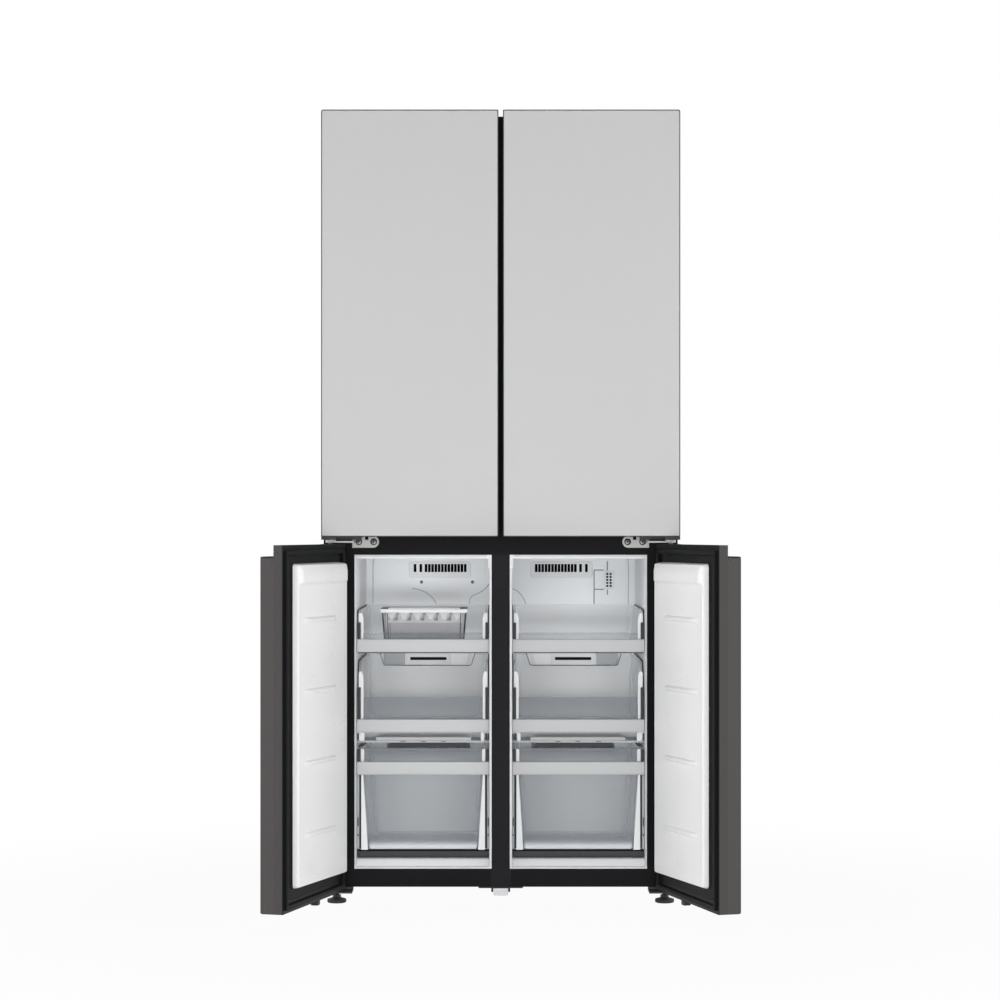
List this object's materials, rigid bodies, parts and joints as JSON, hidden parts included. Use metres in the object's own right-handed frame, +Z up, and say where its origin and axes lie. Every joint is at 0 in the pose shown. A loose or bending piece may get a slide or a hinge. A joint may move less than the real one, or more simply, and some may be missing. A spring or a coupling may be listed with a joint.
{
  "type": "refrigerator",
  "caption": "Free-standing refrigerator with hinged upper and lower door pairs, glass shelves, sliding clear freezer drawers, an ice tray and levelling feet.",
  "frame": {"origin": "on the floor, on the centre plane, under the outer face of the closed doors", "axes": "+X to the right seen from the front, +Y rearwards, +Z up"},
  "size_m": [1.0534, 1.09, 1.865],
  "materials": {
    "grey_panel": "back-coated, satin",
    "dark_case": "fine grain",
    "seal": "matt",
    "white_liner": "satin",
    "dark_steel": "satin paint",
    "dark_frame": "satin",
    "galvanised": "zinc coated",
    "zinc": "zinc plated",
    "foam": "rigid foam",
    "clear_plastic": "clear",
    "grey_plastic": "satin",
    "glass": "toughened, clear",
    "black_steel": "gloss paint",
    "coil": "plain",
    "black_plastic": "matt"
  },
  "bodies": {
    "cabinet": {"outer_case": "dark_steel", "rear_panel": "galvanised", "base_pan": "galvanised", "front_frame": "dark_frame", "insulation_foam": "foam", "upper_liners": "white_liner", "lower_liners": "white_liner", "rear_wall_covers": "white_liner", "evaporator": "coil", "compressor": "black_steel", "condenser": "coil", "fan_shroud": "black_plastic", "machine_cover": "galvanised", "top_hinges": "zinc", "middle_hinges": "zinc", "bottom_hinges": "zinc", "hinge_screws": "zinc", "hinge_covers": "black_plastic", "centre_stop": "grey_plastic", "glass_shelves": "glass", "crisper_boxes": "clear_plastic", "drawer_runners": "white_liner"},
    "evaporator_fan": {"evaporator_fan": "black_plastic"},
    "condenser_fan": {"condenser_fan": "black_plastic"},
    "left_foot": {"left_foot": "black_plastic"},
    "right_foot": {"right_foot": "black_plastic"},
    "left_roller": {"left_roller": "black_plastic"},
    "right_roller": {"right_roller": "black_plastic"},
    "ice_tray": {"ice_tray": "white_liner"},
    "upper_left_door": {"upper_left_door_panel": "grey_panel", "upper_left_door_case": "dark_case", "upper_left_door_gasket": "seal", "upper_left_door_liner": "white_liner", "upper_left_door_bins": "clear_plastic"},
    "upper_right_door": {"upper_right_door_panel": "grey_panel", "upper_right_door_case": "dark_case", "upper_right_door_gasket": "seal", "upper_right_door_liner": "white_liner", "upper_right_door_bins": "clear_plastic"},
    "lower_left_door": {"lower_left_door_panel": "grey_panel", "lower_left_door_case": "dark_case", "lower_left_door_gasket": "seal", "lower_left_door_liner": "white_liner"},
    "lower_right_door": {"lower_right_door_panel": "grey_panel", "lower_right_door_case": "dark_case", "lower_right_door_gasket": "seal", "lower_right_door_liner": "white_liner"},
    "left_top_drawer": {"left_top_drawer_bin": "clear_plastic", "left_top_drawer_handle": "grey_plastic", "ice_box": "clear_plastic"},
    "left_middle_drawer": {"left_middle_drawer_bin": "clear_plastic", "left_middle_drawer_handle": "grey_plastic"},
    "left_bottom_drawer": {"left_bottom_drawer_bin": "clear_plastic", "left_bottom_drawer_handle": "grey_plastic"},
    "right_top_drawer": {"right_top_drawer_bin": "clear_plastic", "right_top_drawer_handle": "grey_plastic"},
    "right_middle_drawer": {"right_middle_drawer_bin": "clear_plastic", "right_middle_drawer_handle": "grey_plastic"},
    "right_bottom_drawer": {"right_bottom_drawer_bin": "clear_plastic", "right_bottom_drawer_handle": "grey_plastic"}
  },
  "joints": [
    {"name": "upper_left_door_hinge", "type": "hinge", "parent": "cabinet", "child": "upper_left_door", "pos_m": [-0.3965, 0.024, 1.357], "axis": [0, 0, -1], "range_deg": [0, 120]},
    {"name": "upper_right_door_hinge", "type": "hinge", "parent": "cabinet", "child": "upper_right_door", "pos_m": [0.3965, 0.024, 1.357], "axis": [0, 0, 1], "range_deg": [0, 120]},
    {"name": "lower_left_door_hinge", "type": "hinge", "parent": "cabinet", "child": "lower_left_door", "pos_m": [-0.3965, 0.024, 0.4425], "axis": [0, 0, -1], "range_deg": [-106, 14]},
    {"name": "lower_right_door_hinge", "type": "hinge", "parent": "cabinet", "child": "lower_right_door", "pos_m": [0.3965, 0.024, 0.4425], "axis": [0, 0, 1], "range_deg": [-106, 14]},
    {"name": "left_top_drawer_slide", "type": "slide", "parent": "cabinet", "child": "left_top_drawer", "axis": [0, -1, 0], "range_m": [0, 0.36]},
    {"name": "left_middle_drawer_slide", "type": "slide", "parent": "cabinet", "child": "left_middle_drawer", "axis": [0, -1, 0], "range_m": [0, 0.36]},
    {"name": "left_bottom_drawer_slide", "type": "slide", "parent": "cabinet", "child": "left_bottom_drawer", "axis": [0, -1, 0], "range_m": [0, 0.28]},
    {"name": "right_top_drawer_slide", "type": "slide", "parent": "cabinet", "child": "right_top_drawer", "axis": [0, -1, 0], "range_m": [0, 0.36]},
    {"name": "right_middle_drawer_slide", "type": "slide", "parent": "cabinet", "child": "right_middle_drawer", "axis": [0, -1, 0], "range_m": [0, 0.36]},
    {"name": "right_bottom_drawer_slide", "type": "slide", "parent": "cabinet", "child": "right_bottom_drawer", "axis": [0, -1, 0], "range_m": [0, 0.28]},
    {"name": "ice_tray_lift", "type": "slide", "parent": "left_top_drawer", "child": "ice_tray", "axis": [0, 0, 1], "range_m": [0, 0.05]},
    {"name": "left_foot_turn", "type": "hinge", "parent": "cabinet", "child": "left_foot", "pos_m": [-0.387, 0.1, 0.02], "axis": [0, 0, 1], "continuous": true},
    {"name": "left_roller_spin", "type": "hinge", "parent": "cabinet", "child": "left_roller", "pos_m": [-0.3405, 0.65, 0.02], "axis": [1, 0, 0], "continuous": true},
    {"name": "right_foot_turn", "type": "hinge", "parent": "cabinet", "child": "right_foot", "pos_m": [0.387, 0.1, 0.02], "axis": [0, 0, 1], "continuous": true},
    {"name": "right_roller_spin", "type": "hinge", "parent": "cabinet", "child": "right_roller", "pos_m": [0.3405, 0.65, 0.02], "axis": [1, 0, 0], "continuous": true},
    {"name": "condenser_fan_spin", "type": "hinge", "parent": "cabinet", "child": "condenser_fan", "pos_m": [-0.056, 0.625, 0.157], "axis": [1, 0, 0], "continuous": true},
    {"name": "evaporator_fan_spin", "type": "hinge", "parent": "cabinet", "child": "evaporator_fan", "pos_m": [-0.18325, 0.596, 0.693], "axis": [0, 1, 0], "continuous": true}
  ]
}
